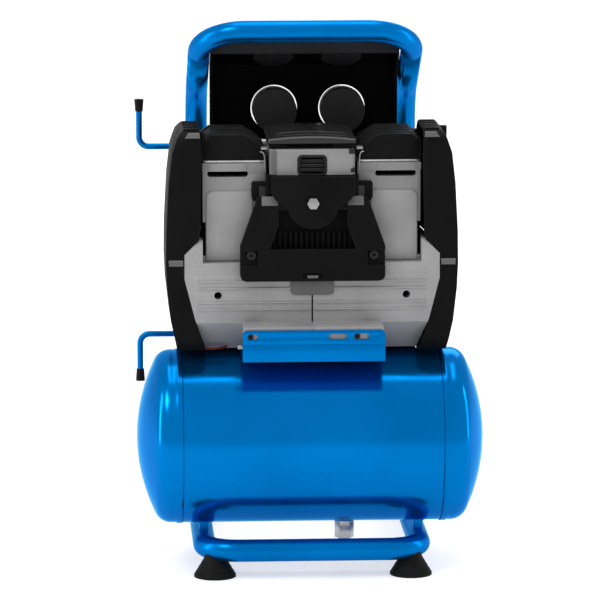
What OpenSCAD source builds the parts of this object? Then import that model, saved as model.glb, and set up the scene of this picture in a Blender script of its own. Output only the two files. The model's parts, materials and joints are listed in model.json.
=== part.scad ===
// Portable twin-cylinder oil-free air compressor on a 10 litre tank.
// The origin is on the floor, at the middle of the machine's footprint. X runs along the tank,
// the tank's marked side faces -Y and the operator's panel faces +Y.

/* [Tank] */
// Outside diameter of the tank
tank_d = 195; // [180:1:205]
// Length of the tank over both dished heads
tank_len = 390; // [360:1:440]
// Depth of one dished head
head_depth = 50; // [40:1:60]
// Wall thickness of the tank
tank_wall = 2.5; // [2:0.5:3]
// Height of the tank axis above the floor
tank_z = 147; // [145:1:150]

/* [Tube frame] */
// Outside diameter of the frame tube
tube_d = 25; // [22:1:25]
// Half the distance between the centres of the left and right tubes
tube_x = 120.5; // [118:0.5:124]
// Height of the base tube's centre above the floor
base_z = 31; // [30:0.5:32]
// Base tube's front bar, ahead of the tank axis
front_bar = 77.5; // [72:0.5:84]
// Base tube's rear bar, behind the tank axis
rear_bar = 256; // [250:1:262]
// Uprights, behind the tank axis
upright_y = 200; // [196:1:204]
// Slope of the handle above the horizontal
handle_slope = 32; // [30:1:34]
// Height of the top bar's centre
top_bar_z = 597.5; // [594:0.5:602]
// Top bar, behind the tank axis
top_bar_y = 50; // [46:1:54]

/* [Rubber feet] */
// Radius of a foot where it meets the floor
foot_r = 23.5; // [21:0.5:25]
// Radius of a foot's neck
foot_neck_r = 12; // [11:0.5:13]

/* [Cord hooks] */
// Diameter of the hook rod
rod_d = 7; // [6:0.5:8]
// Distance of the hooks' free arms from the middle of the machine
hook_x = 186.4; // [180:0.1:188]
// Height of the upper hook's arm
hook_high_z = 448; // [440:1:456]
// Height of the lower hook's arm
hook_low_z = 228; // [220:1:236]

/* [Pump] */
// Crank axis, behind the tank axis
pump_y = 5; // [4:1:6]
// Height of the crank axis
crank_z = 302; // [301:1:303]
// Crank throw, half the stroke
throw = 8; // [7:0.5:8]
// Cylinder bore radius
bore_r = 25; // [24:0.5:25]
// Distance of each cylinder from the middle of the machine
cyl_x = 86; // [85.5:0.5:86.5]
// Top of the cylinder, where the valve plate sits
deck_z = 461; // [460:1:462]
// Radius of the cooling fans
fan_r = 36; // [33:1:37]

/* [Panel] */
// Half the width of the control panel
panel_x = 107; // [105:0.5:107.5]
// Rear panel plate, behind the tank axis
panel_y = 140; // [138:1:142]
// Radius of a pressure gauge
gauge_r = 25; // [23:0.5:25]
// Height of the gauges
gauge_z = 499.5; // [498:0.5:501]
// Height of the manifold's centre
manifold_z = 450; // [448:1:452]

/* [Hidden] */
$fn = 64;

tank_r = tank_d / 2;
tube_r = tube_d / 2;
bend_r = 37;
shell_x = tank_len / 2 - head_depth;
foot_y = front_bar - bend_r * (1 - cos(45));
foot_x = tube_x - bend_r * (1 - cos(45));
rear_foot_y = rear_bar - bend_r * (1 - cos(45));
weld = 1;
// The tank axis sits ahead of the origin, so that the origin is the middle of the footprint
tank_y = -(rear_foot_y + foot_r - tank_r - weld) / 2;

blue = [0.02, 0.33, 0.75];
black = [0.07, 0.07, 0.07];
grey = [0.62, 0.62, 0.63];
steel = [0.75, 0.75, 0.77];
brass = [0.78, 0.62, 0.32];
rubber = [0.09, 0.09, 0.09];

// Heights and depths shared by the pump's pieces
housing_front = -50;
housing_back = 60;
housing_low = 250;
housing_top = 351;
bearing_in = 57;
bearing_w = 8;
bearing_r = 16;
shaft_r = 7;
running = 0.05;
stator_r = 43;
rotor_r = 23;
ring_x = 80;
ring_w = 12;
pin_r = 6;
ring_r = 2 * throw + pin_r + 0.6;
cyl_in = 51;
cyl_out = 121;
cyl_front = -36;
cyl_back = 46;
head_z = deck_z + 3;
plate_low = 246;
plate_t = 3;
platform_y = 87;
platform_x = 79;
sleeve_r = 12.5;
coupler_x = [44, 80];
gauge_x = [-33.5, 44];
blank_x = [-35, 42];
switch_x = -76;
regulator_x = 5;
port_x = 92;
port_y = 75;
port_base = 184;
port_top = 222;
drain_x = 39;
drain_top = 48.5;
mount_x = 60;
mount_y = [-68, 72];
guide_bolt_z = 420.2;

// ---- shared shapes ----

module at_tank() {
    translate([0, tank_y, 0]) children();
}

module along_x(x0, x1) {
    translate([x0, 0, 0]) rotate([0, 90, 0]) linear_extrude(height = x1 - x0) children();
}

module rod_x(x0, x1, r) {
    along_x(x0, x1) circle(r);
}

module rod_y(y0, y1, r) {
    translate([0, y0, 0]) rotate([-90, 0, 0]) cylinder(r = r, h = y1 - y0);
}

// A shape drawn in the XZ plane, given thickness from y0 to y1
module slab_xz(y0, y1) {
    translate([0, y1, 0]) rotate([90, 0, 0]) linear_extrude(height = y1 - y0) children();
}

// A shape drawn in the YZ plane, given thickness from x0 to x1
module slab_yz(x0, x1) {
    translate([x0, 0, 0]) rotate([90, 0, 90]) linear_extrude(height = x1 - x0) children();
}

module round_rect(w, h, r) {
    square([w - 2 * r, h], center = true);
    square([w, h - 2 * r], center = true);
    for (sx = [-1, 1], sy = [-1, 1])
        translate([sx * (w / 2 - r), sy * (h / 2 - r)]) circle(r);
}

module rounded_box(lo, hi, r) {
    translate([(lo[0] + hi[0]) / 2, (lo[1] + hi[1]) / 2, lo[2]])
        linear_extrude(height = hi[2] - lo[2])
            round_rect(hi[0] - lo[0], hi[1] - lo[1], r);
}

module box(lo, hi) {
    translate(lo) cube([hi[0] - lo[0], hi[1] - lo[1], hi[2] - lo[2]]);
}

// A quarter of a bent rod in the XY plane, from +X round to +Y about the origin
module bend(radius, r, angle = 90) {
    rotate_extrude(angle = angle) translate([radius, 0]) circle(r);
}

module hex_head(af, h) {
    cylinder(r = af / 2 / cos(30), h = h, $fn = 6);
}

module mirror_copy() {
    children();
    mirror([1, 0, 0]) children();
}

// ---- tank ----

module tank_shell() {
    at_tank() color(blue) translate([0, 0, tank_z]) difference() {
        rod_x(-shell_x, shell_x, tank_r);
        rod_x(-shell_x - 1, shell_x + 1, tank_r - tank_wall);
        translate([drain_x, 0, -tank_r - 5]) cylinder(r = 11.1, h = 20);
        for (side = [-1, 1])
            translate([side * port_x, port_y, 40]) cylinder(r = 11.1, h = 60);
    }
}

// A dished head's crown is as round as the tank is wide, and its knuckle a tenth of that
knuckle_r = tank_d / 10;
knuckle_x = tank_r - knuckle_r;
crown_angle = asin(knuckle_x / (tank_d - knuckle_r));
crown_z = head_depth - tank_d;
flange_z = crown_z + (tank_d - knuckle_r) * cos(crown_angle);

// Section of the head at a depth t inside its outer face, from the rim to the middle
function dished(t) = concat(
    [for (i = [0 : 7]) let (a = i / 7 * (90 - crown_angle))
        [knuckle_x + (knuckle_r - t) * cos(a), flange_z + (knuckle_r - t) * sin(a)]],
    [for (i = [5 : -1 : 0]) let (a = i / 6 * crown_angle)
        [(tank_d - t) * sin(a), crown_z + (tank_d - t) * cos(a)]]
);

module tank_head() {
    seam = 6;
    translate([shell_x, 0, tank_z]) rotate([0, 90, 0]) difference() {
        union() {
            rotate_extrude() polygon(concat([[0, 0], [tank_r, 0]], dished(0)));
            translate([0, 0, 0.2]) cylinder(r = tank_r + weld, h = seam);
        }
        rotate_extrude() polygon(concat([[0, -1], [tank_r - tank_wall, -1]], dished(tank_wall)));
    }
}

module tank_head_right() {
    at_tank() color(blue) tank_head();
}

module tank_head_left() {
    at_tank() color(blue) mirror([1, 0, 0]) tank_head();
}

module threaded_boss(h, thread_r) {
    difference() {
        cylinder(r = 11, h = h);
        translate([0, 0, -1]) cylinder(r = thread_r, h = h + 2);
    }
}

module tank_ports() {
    at_tank() color(blue) {
        translate([drain_x, 0, drain_top]) threaded_boss(11.5, 6.6);
        for (side = [-1, 1])
            translate([side * port_x, port_y, port_base]) threaded_boss(port_top - port_base, 6.6);
    }
}

// ---- tube frame ----

// The base tube's closed loop
module base_loop(r) {
    mirror_copy() {
        translate([tube_x, -front_bar + bend_r, 0]) rod_y(0, front_bar + rear_bar - 2 * bend_r, r);
        translate([tube_x - bend_r, rear_bar - bend_r, 0]) bend(bend_r, r);
        translate([tube_x - bend_r, -front_bar + bend_r, 0]) rotate([0, 0, -90]) bend(bend_r, r);
    }
    for (y = [-front_bar, rear_bar])
        translate([0, y, 0]) rod_x(-tube_x + bend_r, tube_x - bend_r, r);
}

module base_frame() {
    at_tank() color(blue) {
        translate([0, 0, base_z]) base_loop(tube_r);
        // Saddles that carry the tank on the side rails
        mirror_copy() difference() {
            box([tube_x - 5, -26, base_z + tube_r - 3], [tube_x + 5, 26, 60]);
            translate([0, 0, tank_z]) rod_x(0, tube_x + 10, tank_r + 0.1);
        }
    }
}

// Where the upright's line meets the slanted handle's line
knee_z = top_bar_z - (upright_y - top_bar_y) * tan(handle_slope);
knee_r = 60;
knee_turn = 90 - handle_slope;
knee_reach = knee_r * tan(knee_turn / 2);
corner_r = 52;
slant_len = (upright_y - top_bar_y) / cos(handle_slope);

// Uprights from the side rails up to the knees, drawn in each knee's own plane
module frame_uprights() {
    drop = knee_z - knee_reach - base_z - 4;
    at_tank() color(blue) mirror_copy() difference() {
        translate([tube_x, upright_y - knee_r, knee_z - knee_reach]) rotate([90, 0, 90]) {
            bend(knee_r, tube_r, knee_turn);
            translate([knee_r, 0, 0]) rod_y(-drop, 0, tube_r);
        }
        translate([tube_x, 0, base_z]) rod_y(upright_y - 30, upright_y + 30, tube_r + 0.02);
    }
}

// Sloping runs, corners and top bar, drawn in the sloping plane from the knees' corner
module handle_frame() {
    at_tank() color(blue) translate([0, upright_y, knee_z]) rotate([180 - handle_slope, 0, 0]) {
        mirror_copy() {
            translate([tube_x, 0, 0]) rod_y(knee_reach + 0.02, slant_len - corner_r, tube_r);
            translate([tube_x - corner_r, slant_len - corner_r, 0]) bend(corner_r, tube_r);
        }
        translate([0, slant_len, 0]) rod_x(-tube_x + corner_r, tube_x - corner_r, tube_r);
    }
}

module rubber_foot() {
    neck_top = base_z - 5;
    peg_r = 6;
    rotate_extrude() polygon([
        [0, 8], [peg_r, 8], [peg_r, 0], [foot_r, 0], [foot_r, 2.6], [foot_r - 0.7, 3.4],
        [foot_r - 2.6, 7], [foot_r - 3.2, 7.2], [foot_r - 5.6, 12], [foot_r - 6.2, 12.2],
        [foot_r - 8.6, 17], [foot_r - 9.2, 17.2], [foot_neck_r, 22], [foot_neck_r, neck_top],
        [0, neck_top]
    ]);
}

module rubber_feet() {
    at_tank() color(rubber) difference() {
        for (sx = [-1, 1], y = [-foot_y, rear_foot_y])
            translate([sx * foot_x, y, 0]) rubber_foot();
        translate([0, 0, base_z]) base_loop(tube_r + 0.1);
    }
}

// ---- cord hooks ----

hook_bend = 11;
hook_arm = 41;
cap_len = 14;

// Hook with its arm pointing up from the origin's height; the rod ends at the upright
module cord_hook() {
    rod_r = rod_d / 2;
    difference() {
        rod_x(-hook_x + hook_bend, -tube_x, rod_r);
        translate([-tube_x, 0, -20]) cylinder(r = tube_r + 0.02, h = 40);
    }
    translate([-hook_x + hook_bend, 0, hook_bend]) rotate([90, 0, 0]) rotate([0, 0, 180])
        bend(hook_bend, rod_r);
    translate([-hook_x, 0, hook_bend]) cylinder(r = rod_r, h = hook_arm - hook_bend + cap_len - 3);
}

module cord_hook_upper() {
    at_tank() color(blue) translate([0, upright_y, hook_high_z]) cord_hook();
}

module cord_hook_lower() {
    at_tank() color(blue) translate([0, upright_y, hook_low_z]) mirror([0, 0, 1]) cord_hook();
}

module hook_cap() {
    difference() {
        cylinder(r1 = 4.4, r2 = 5.4, h = cap_len);
        translate([0, 0, -1]) cylinder(r = rod_d / 2 + 0.05, h = cap_len - 2 + 0.1);
    }
}

module hook_caps() {
    at_tank() color(rubber) {
        translate([-hook_x, upright_y, hook_high_z + hook_arm]) hook_cap();
        translate([-hook_x, upright_y, hook_low_z - hook_arm]) mirror([0, 0, 1]) hook_cap();
    }
}

// ---- pump platform and its fasteners ----

flange_top = 281;
bolt_z = 274;
bolt_x = [-70, 48];

module slot_xz(x0, x1, z, r) {
    translate([x0 + r, z]) circle(r);
    translate([x1 - r, z]) circle(r);
    translate([x0 + r, z - r]) square([x1 - x0 - 2 * r, 2 * r]);
}

module platform_flange() {
    slab_xz(-platform_y, -platform_y + plate_t) difference() {
        union() {
            translate([-platform_x, plate_low]) square([2 * platform_x, flange_top - plate_low - 5]);
            translate([-platform_x + 5, flange_top - 6]) square([2 * platform_x - 10, 6]);
            for (s = [-1, 1]) translate([s * (platform_x - 5), flange_top - 5]) circle(5);
        }
        slot_xz(-74, -62, bolt_z, 3.2);
        slot_xz(16, 36.5, bolt_z, 3);
        slot_xz(44, 61, bolt_z, 3.2);
    }
}

// Shallow crease pressed along the flange's face
module flange_crease() {
    z = 265.2;
    box([-platform_x - 1, -platform_y - 1, z], [platform_x + 1, -platform_y + 0.7, z + 0.8]);
}

module pump_platform() {
    at_tank() color(blue) {
        for (back = [0, 1]) mirror([0, back, 0]) difference() {
            platform_flange();
            flange_crease();
        }
        box([-platform_x, -platform_y + 1, plate_low], [platform_x, platform_y - 1, plate_low + plate_t]);
        // Legs down to the tank
        mirror_copy() difference() {
            box([50, -25, 190], [62, 25, plate_low + 0.5]);
            translate([0, 0, tank_z]) rod_x(40, 70, tank_r + 0.1);
        }
    }
}

// Socket screws sunk in the flange's slots, into the housing's foot rails
module mount_screws() {
    at_tank() color(black) for (back = [0, 1]) mirror([0, back, 0])
        for (x = bolt_x) translate([x, -platform_y + 1, bolt_z]) rotate([90, 0, 0]) difference() {
            translate([0, 0, -9]) cylinder(r = 2.9, h = 9);
            translate([0, 0, -2]) hex_head(2.5, 3);
        }
}

module guide_bolt() {
    at_tank() color(steel) translate([0, guide_front, guide_bolt_z]) rotate([90, 0, 0]) {
        hex_head(12, 5);
        translate([0, 0, -12]) cylinder(r = 4, h = 12.1);
    }
}

module pump_mounts() {
    at_tank() color(rubber) for (x = [-mount_x, mount_x], y = mount_y)
        translate([x, y, plate_low + plate_t]) difference() {
            cylinder(r = 11, h = 13);
            translate([0, 0, -1]) cylinder(r = 4, h = 15);
        }
}

// ---- valves on the tank ----

module drain_valve() {
    at_tank() color(steel) translate([drain_x, 0, 0]) difference() {
        union() {
            translate([0, 0, 28.5]) hex_head(19, drain_top - 28.6);
            translate([0, 0, drain_top - 0.2]) cylinder(r = 6.5, h = 10);
        }
        translate([0, 0, 27]) cylinder(r = 4.4, h = 12);
        translate([0, 0, 38]) cylinder(r = 2, h = 25);
    }
}

module drain_screw() {
    at_tank() color(brass) translate([drain_x, 0, 0]) {
        difference() {
            translate([0, 0, 19]) cylinder(r = 7, h = 8.5);
            for (a = [0 : 45 : 315]) rotate([0, 0, a]) translate([7.6, 0, 18]) cylinder(r = 1.4, h = 11);
        }
        translate([0, 0, 27.4]) cylinder(r = 4.3, h = 10);
    }
}

module check_valve_body() {
    at_tank() color(brass) translate([-port_x, port_y, 0]) difference() {
        union() {
            translate([0, 0, 212]) cylinder(r = 6.5, h = 11);
            translate([0, 0, 222.1]) hex_head(20, 12);
            translate([0, 0, 234]) cylinder(r = 9, h = 18);
            translate([0, 0, 252]) hex_head(17, 10);
            translate([0, 0, 243]) rod_y(0, 14, 4.5);
        }
        translate([0, 0, 211]) cylinder(r = 3.5, h = 16);
        translate([0, 0, 226]) cylinder(r = 6.5, h = 24);
        translate([0, 0, 249]) cylinder(r = 5.1, h = 14);
        translate([0, 0, 243]) rod_y(0, 16, 2.1);
    }
}

module check_valve_poppet() {
    at_tank() color(rubber) translate([-port_x, port_y, 0]) {
        translate([0, 0, 226.4]) cylinder(r = 5.8, h = 3);
        translate([0, 0, 229.3]) cylinder(r = 3, h = 9);
    }
}

// ---- pipes ----

pipe_r = 5;
pipe_bend = 15;

module delivery_pipe() {
    // From the check valve up to the back of the left head
    head_port_z = head_z + 10;
    translate([-port_x, port_y, 0]) {
        translate([0, 0, 255]) cylinder(r = pipe_r, h = head_port_z - pipe_bend - 255);
        translate([0, -pipe_bend, head_port_z - pipe_bend]) rotate([90, 0, 90])
            bend(pipe_bend, pipe_r);
        translate([0, 0, head_port_z]) rod_y(50.3 - port_y, -pipe_bend, pipe_r);
    }
}

module cross_pipe() {
    // Between the backs of the two heads
    reach = 60;
    out = 10;
    translate([0, 50.3, head_z + 5]) {
        mirror_copy() {
            translate([reach, 0, 0]) rod_y(0, 8, pipe_r);
            translate([reach - out, 8, 0]) bend(out, pipe_r);
        }
        translate([0, 8 + out, 0]) rod_x(-reach + out, reach - out, pipe_r);
    }
}

module supply_pipe() {
    // From the right tank boss up into the manifold
    low = manifold_z - 10;
    rise_y = 121 - port_y;
    translate([port_x, port_y, 0]) {
        translate([0, 0, 216]) cylinder(r = pipe_r, h = low - 2 * pipe_bend - 5 - 216);
        translate([0, pipe_bend, low - 2 * pipe_bend - 5]) rotate([90, 0, -90]) bend(pipe_bend, pipe_r);
        translate([0, 0, low - pipe_bend - 5]) rod_y(pipe_bend, rise_y - pipe_bend, pipe_r);
        translate([0, rise_y - pipe_bend, low - 5]) rotate([0, 90, 0]) bend(pipe_bend, pipe_r);
        translate([0, rise_y, low - 5]) cylinder(r = pipe_r, h = 4.8);
    }
}

module pipe_nuts() {
    translate([port_x, port_y, 222.2]) difference() {
        hex_head(19, 10);
        translate([0, 0, -1]) cylinder(r = pipe_r - 0.5, h = 12);
    }
}

module air_pipes() {
    at_tank() color(steel) {
        delivery_pipe();
        cross_pipe();
        supply_pipe();
        pipe_nuts();
    }
}

module unloader_pipe() {
    r = 2;
    turn = 12;
    far_y = 108;
    at_tank() color(black) translate([-port_x, 0, 0]) {
        translate([0, 0, 243]) rod_y(port_y + 8, far_y - turn, r);
        translate([0, far_y - turn, 243 + turn]) rotate([0, 90, 0]) bend(turn, r);
        translate([0, far_y, 243 + turn]) cylinder(r = r, h = 404.5 - 243 - turn);
    }
}

// ---- pressure switch, manifold, regulator and gauges ----

module pressure_switch() {
    at_tank() color(black) {
        difference() {
            rounded_box([-100, 86, 405], [-52, 135, 470], 5);
            translate([switch_x, 0, manifold_z]) rod_y(125, 140, 6);
        }
        box([-102, 84, 421], [-50, 136, 424]);
    }
}

module switch_knob() {
    at_tank() color([0.7, 0.05, 0.05]) translate([switch_x, 0, manifold_z]) {
        rod_y(127, panel_y + 12, 5.6);
        rod_y(panel_y + 12, panel_y + 22, 13);
    }
}

module cable_gland() {
    at_tank() color(black) translate([-64, 104, 0]) difference() {
        union() {
            translate([0, 0, 396]) hex_head(19, 8.7);
            translate([0, 0, 384]) cylinder(r = 7.5, h = 12.1);
        }
        translate([0, 0, 383]) cylinder(r = 4.5, h = 23);
    }
}

module manifold() {
    lo = 112;
    hi = 130;
    at_tank() color([0.7, 0.7, 0.72]) difference() {
        box([-49.8, lo, manifold_z - 10], [96, hi, manifold_z + 10]);
        translate([0, 121, manifold_z]) rod_x(-60, 86, 4);
        translate([port_x - 7, 121, manifold_z + 1]) cylinder(r = 4, h = 20);
        for (x = concat(coupler_x, [regulator_x])) translate([x, 0, manifold_z]) rod_y(121, 140, 6.1);
        for (x = gauge_x) translate([x, 121, manifold_z]) cylinder(r = 4.1, h = 20);
    }
}

module regulator_body() {
    at_tank() color(brass) translate([regulator_x, 0, manifold_z]) {
        rod_y(122, 130.2, 6);
        rod_y(130.1, 147, 15);
        rod_y(147, 158, 4);
    }
}

module regulator_knob() {
    at_tank() color(black) translate([regulator_x, 0, manifold_z]) difference() {
        rod_y(148, 172, 18);
        rod_y(147, 159, 4.05);
        for (a = [0 : 30 : 330]) rotate([0, a, 0]) translate([19, 0, 0]) rod_y(150, 173, 2.2);
    }
}

dial_y = panel_y + 1;

module gauge_casings() {
    at_tank() color(black) for (x = gauge_x) translate([x, 0, 0]) {
        translate([0, 0, gauge_z]) difference() {
            rod_y(113, panel_y + 6, gauge_r);
            rod_y(dial_y - 3, panel_y + 7, gauge_r - 2);
        }
        translate([0, 121, manifold_z + 6.5]) cylinder(r = 4, h = gauge_z - gauge_r - manifold_z - 4.5);
        translate([0, 121, manifold_z + 10.1]) hex_head(12, 8);
    }
}

module gauge_dials() {
    at_tank() color("white") for (x = gauge_x) translate([x, 0, gauge_z]) difference() {
        rod_y(dial_y - 3, dial_y - 2, gauge_r - 2.1);
        rod_y(dial_y - 4, dial_y, 1.1);
    }
}

module gauge_lenses() {
    at_tank() color([0.9, 0.95, 1], 0.3) for (x = gauge_x) translate([x, 0, gauge_z])
        rod_y(panel_y + 4, panel_y + 5.5, gauge_r - 2.1);
}

// Pointer at zero, 45 degrees past straight down towards the operator's left
module gauge_needle(x) {
    translate([x, 0, gauge_z]) rotate([0, 135, 0]) {
        rod_y(dial_y - 2.5, dial_y + 1, 1);
        rod_y(dial_y - 0.6, dial_y + 1.2, 3);
        slab_xz(dial_y - 0.4, dial_y + 0.4) polygon([[-1, -6], [1, -6], [0.4, 17], [-0.4, 17]]);
    }
}

module gauge_needle_tank() {
    at_tank() color("black") gauge_needle(gauge_x[0]);
}

module gauge_needle_outlet() {
    at_tank() color("black") gauge_needle(gauge_x[1]);
}

coupler_end = panel_y + 30;
sleeve_y = panel_y + 11;

module coupler_body() {
    difference() {
        union() {
            rod_y(122, 131, 6);
            rod_y(130.2, 138, 10);
            rod_y(138, coupler_end, 9);
            rod_y(sleeve_y - 7, sleeve_y - 5, 11.5);
        }
        rod_y(125, coupler_end + 1, 4);
        rod_y(coupler_end - 18, coupler_end + 1, 5.4);
    }
}

module coupler_bodies() {
    at_tank() color(steel) for (x = coupler_x) translate([x, 0, manifold_z]) coupler_body();
}

// Knurled sleeve, pulled back towards the manifold to let a plug go
module coupler_sleeve(x) {
    translate([x, 0, manifold_z]) difference() {
        rod_y(sleeve_y + 1, coupler_end - 2, sleeve_r);
        rod_y(sleeve_y, coupler_end, 9 + running);
        for (y = [sleeve_y + 6, sleeve_y + 10])
            difference() {
                rod_y(y, y + 2, sleeve_r + 1);
                rod_y(y - 1, y + 3, sleeve_r - 0.8);
            }
    }
}

module coupler_sleeve_left() {
    at_tank() color(steel) coupler_sleeve(coupler_x[0]);
}

module coupler_sleeve_right() {
    at_tank() color(steel) coupler_sleeve(coupler_x[1]);
}

safety_x = port_x - 7;

module safety_valve_body() {
    at_tank() color(brass) translate([safety_x, 121, 0]) {
        translate([0, 0, manifold_z + 6.5]) cylinder(r = 3.9, h = 4.5);
        translate([0, 0, manifold_z + 10.1]) hex_head(14, 7);
        translate([0, 0, manifold_z + 17]) cylinder(r = 6, h = 8);
        translate([0, 0, manifold_z + 24.9]) cylinder(r = 1.5, h = 5);
    }
}

module safety_valve_ring() {
    at_tank() color(steel) translate([safety_x, 121, manifold_z + 25.4]) difference() {
        cylinder(r = 8, h = 6);
        translate([0, 0, -1]) cylinder(r = 1.55, h = 6);
    }
}

// ---- control panel ----

skin = 3;
fascia_y = 95;
fascia_top = 581;
fascia_low = 567;
panel_low = 402;
screw_x = [-98, 98];
screw_z = [412, 530];

// The panel's section from the side: fascia, sloping top and upright operator plate
module panel_section() {
    fold_z = fascia_top - (panel_y + skin - fascia_y) * tan(handle_slope);
    polygon([
        [fascia_y, fascia_low], [fascia_y, fascia_top], [panel_y + skin, fold_z],
        [panel_y + skin, panel_low], [panel_y, panel_low], [panel_y, fold_z - 2],
        [fascia_y + skin, fascia_top - 5], [fascia_y + skin, fascia_low]
    ]);
}

module panel_cheek() {
    fold_z = fascia_top - (panel_y + skin - fascia_y) * tan(handle_slope);
    polygon([
        [fascia_y, fascia_low], [fascia_y, fascia_top], [panel_y + skin, fold_z],
        [panel_y + skin, panel_low], [panel_y - 12, panel_low], [panel_y - 12, fold_z - 16]
    ]);
}

module control_panel() {
    at_tank() color(black) difference() {
        union() {
            slab_yz(-panel_x, panel_x) panel_section();
            mirror_copy() slab_yz(panel_x - skin, panel_x) panel_cheek();
            for (x = blank_x) boss_place(x) cylinder(r = 23.5, h = 4);
        }
        for (x = gauge_x) translate([x, 0, gauge_z]) rod_y(panel_y - 1, panel_y + 5, gauge_r + 1.6);
        for (x = coupler_x) translate([x, 0, manifold_z]) rod_y(panel_y - 2, panel_y + 5, 15);
        translate([regulator_x, 0, manifold_z]) rod_y(panel_y - 2, panel_y + 5, 19.5);
        translate([switch_x, 0, manifold_z]) rod_y(panel_y - 2, panel_y + 5, 8);
        for (x = screw_x, z = screw_z) translate([x, 0, z]) rod_y(panel_y + 0.8, panel_y + 5, 2.05);
    }
}

// Puts a blanked instrument boss square to the sloping top, pointing down into the machine
module boss_place(x) {
    y = 118.5;
    z = fascia_top - (y - fascia_y) * tan(handle_slope) - 2;
    translate([x, y, z]) rotate([180 - handle_slope, 0, 0]) children();
}

module pan_screws() {
    at_tank() color(steel) for (x = screw_x, z = screw_z) translate([x, 0, z]) {
        rod_y(panel_y + skin + 0.05, panel_y + skin + 2.6, 4.5);
        rod_y(panel_y + 0.9, panel_y + skin + 0.1, 2);
    }
}

// ---- motor and crankcase ----

module housing_outline() {
    polygon([
        [0.15, housing_low], [117.9, housing_low], [130.8, 290], [141.8, 333], [141.8, 360.6],
        [125.4, 376.5], [121.6, 376.5], [121.6, housing_top], [0.15, housing_top]
    ]);
}

// Seen from the end: rounded above, and cut away below towards the foot rails
module housing_side() {
    cut_z = 284;
    cut_y = 32;
    top_z = 380;
    intersection() {
        translate([(housing_back + housing_front) / 2, (top_z + housing_low) / 2])
            round_rect(housing_back - housing_front, top_z - housing_low, 12);
        polygon([
            [housing_front, cut_z], [housing_front + cut_y, housing_low],
            [housing_back - cut_y, housing_low], [housing_back, cut_z],
            [housing_back, top_z], [housing_front, top_z]
        ]);
    }
}

module housing_ribs() {
    for (z = [330.7, 322.6, 306.8, 299.1])
        box([4, housing_front - 1.2, z - 0.8], [127, housing_front + 1, z + 0.8]);
    box([57, housing_front - 0.6, 287], [130, housing_front + 1, 338]);
}

module housing_half() {
    difference() {
        union() {
            intersection() {
                slab_xz(housing_front, housing_back) housing_outline();
                slab_yz(0, 150) housing_side();
            }
            housing_ribs();
            box([0.15, -83.7, 262.2], [77, housing_front + 30, 284]);
            box([0.15, housing_back - 30, 262.2], [77, 83.7, 284]);
        }
        translate([0, pump_y, crank_z]) {
            rod_x(-1, bearing_in - 3, stator_r + 0.1);
            rod_x(bearing_in - 4, bearing_in + bearing_w, bearing_r);
            rod_x(bearing_in + bearing_w - 1, 108, 42);
            rod_x(100, 150, shaft_r + 1.5);
        }
        translate([cyl_x, pump_y, crank_z + 30]) cylinder(r = bore_r, h = 30);
        translate([104.8, 0, 314.7]) rod_y(housing_front - 2, housing_front + 18, 4.3);
        for (y = mount_y) translate([mount_x, y, 261]) cylinder(r = 4, h = 12);
        for (b = bolt_x, back = [0, 1])
            translate([abs(b), 0, bolt_z]) mirror([0, back, 0]) rod_y(-90, -75, 3);
    }
}

module motor_housing_right() {
    at_tank() color(grey) housing_half();
}

module motor_housing_left() {
    at_tank() color(grey) mirror([1, 0, 0]) housing_half();
}

module stator() {
    at_tank() translate([0, pump_y, crank_z]) {
        color(steel) difference() {
            rod_x(-35, 35, stator_r);
            rod_x(-36, 36, rotor_r + 0.5);
        }
        color([0.72, 0.4, 0.2]) mirror_copy() difference() {
            rod_x(35, 50, 39);
            rod_x(34, 51, 27);
        }
    }
}

module crankshaft() {
    at_tank() color(steel) translate([0, pump_y, crank_z]) rod_x(-149, 149, shaft_r);
}

module rotor() {
    at_tank() color(steel) translate([0, pump_y, crank_z]) difference() {
        rod_x(-36, 36, rotor_r);
        rod_x(-37, 37, shaft_r + 0.02);
    }
}

module shaft_bearings() {
    at_tank() color(steel) translate([0, pump_y, crank_z]) mirror_copy() difference() {
        rod_x(bearing_in + 0.1, bearing_in + bearing_w - 0.2, bearing_r - 0.05);
        rod_x(bearing_in - 1, bearing_in + bearing_w + 1, shaft_r + running);
    }
}

// Crank pin and counterweight; the pin points up on the left and down on the right
module eccentric() {
    web_x = 71;
    difference() {
        union() {
            translate([0, 0, throw]) rod_x(web_x, ring_x + ring_w + 2, pin_r);
            intersection() {
                rod_x(web_x, ring_x - 2, 30);
                box([web_x - 1, -30, -31], [ring_x, 30, 9]);
            }
        }
        rod_x(60, 110, shaft_r + 0.02);
    }
}

module eccentrics() {
    at_tank() color(steel) translate([0, pump_y, crank_z]) {
        rotate([180, 0, 0]) eccentric();
        mirror([1, 0, 0]) eccentric();
    }
}

// Rod and cup piston in one, with the big end centred on the origin
module piston() {
    crown = deck_z - 1 - crank_z - throw;
    difference() {
        union() {
            rod_x(ring_x, ring_x + ring_w, ring_r + 5);
            translate([cyl_x, 0, ring_r + 2]) cylinder(r = 6, h = crown - ring_r - 8);
            translate([cyl_x, 0, crown - 8]) cylinder(r = bore_r - running, h = 8);
        }
        rod_x(ring_x - 1, ring_x + ring_w + 1, ring_r);
    }
}

module piston_left() {
    at_tank() color(steel) translate([0, pump_y, crank_z + throw]) mirror([1, 0, 0]) piston();
}

module piston_right() {
    at_tank() color(steel) translate([0, pump_y, crank_z - throw]) piston();
}

module fan() {
    x0 = 142.5;
    rod_x(x0, 149, 13);
    for (a = [0 : 45 : 315]) rotate([a, 0, 0]) translate([x0 + 3.2, 0, 11])
        rotate([0, 0, 25]) translate([-0.8, -7, 0]) cube([1.6, 13, fan_r - 12]);
}

module fans() {
    at_tank() color(black) translate([0, pump_y, crank_z]) mirror_copy() difference() {
        fan();
        rod_x(140, 151, shaft_r + 0.02);
    }
}

// ---- cylinders and heads ----

cyl_mid = (cyl_in + cyl_out) / 2;
cyl_w = cyl_out - cyl_in;

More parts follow.
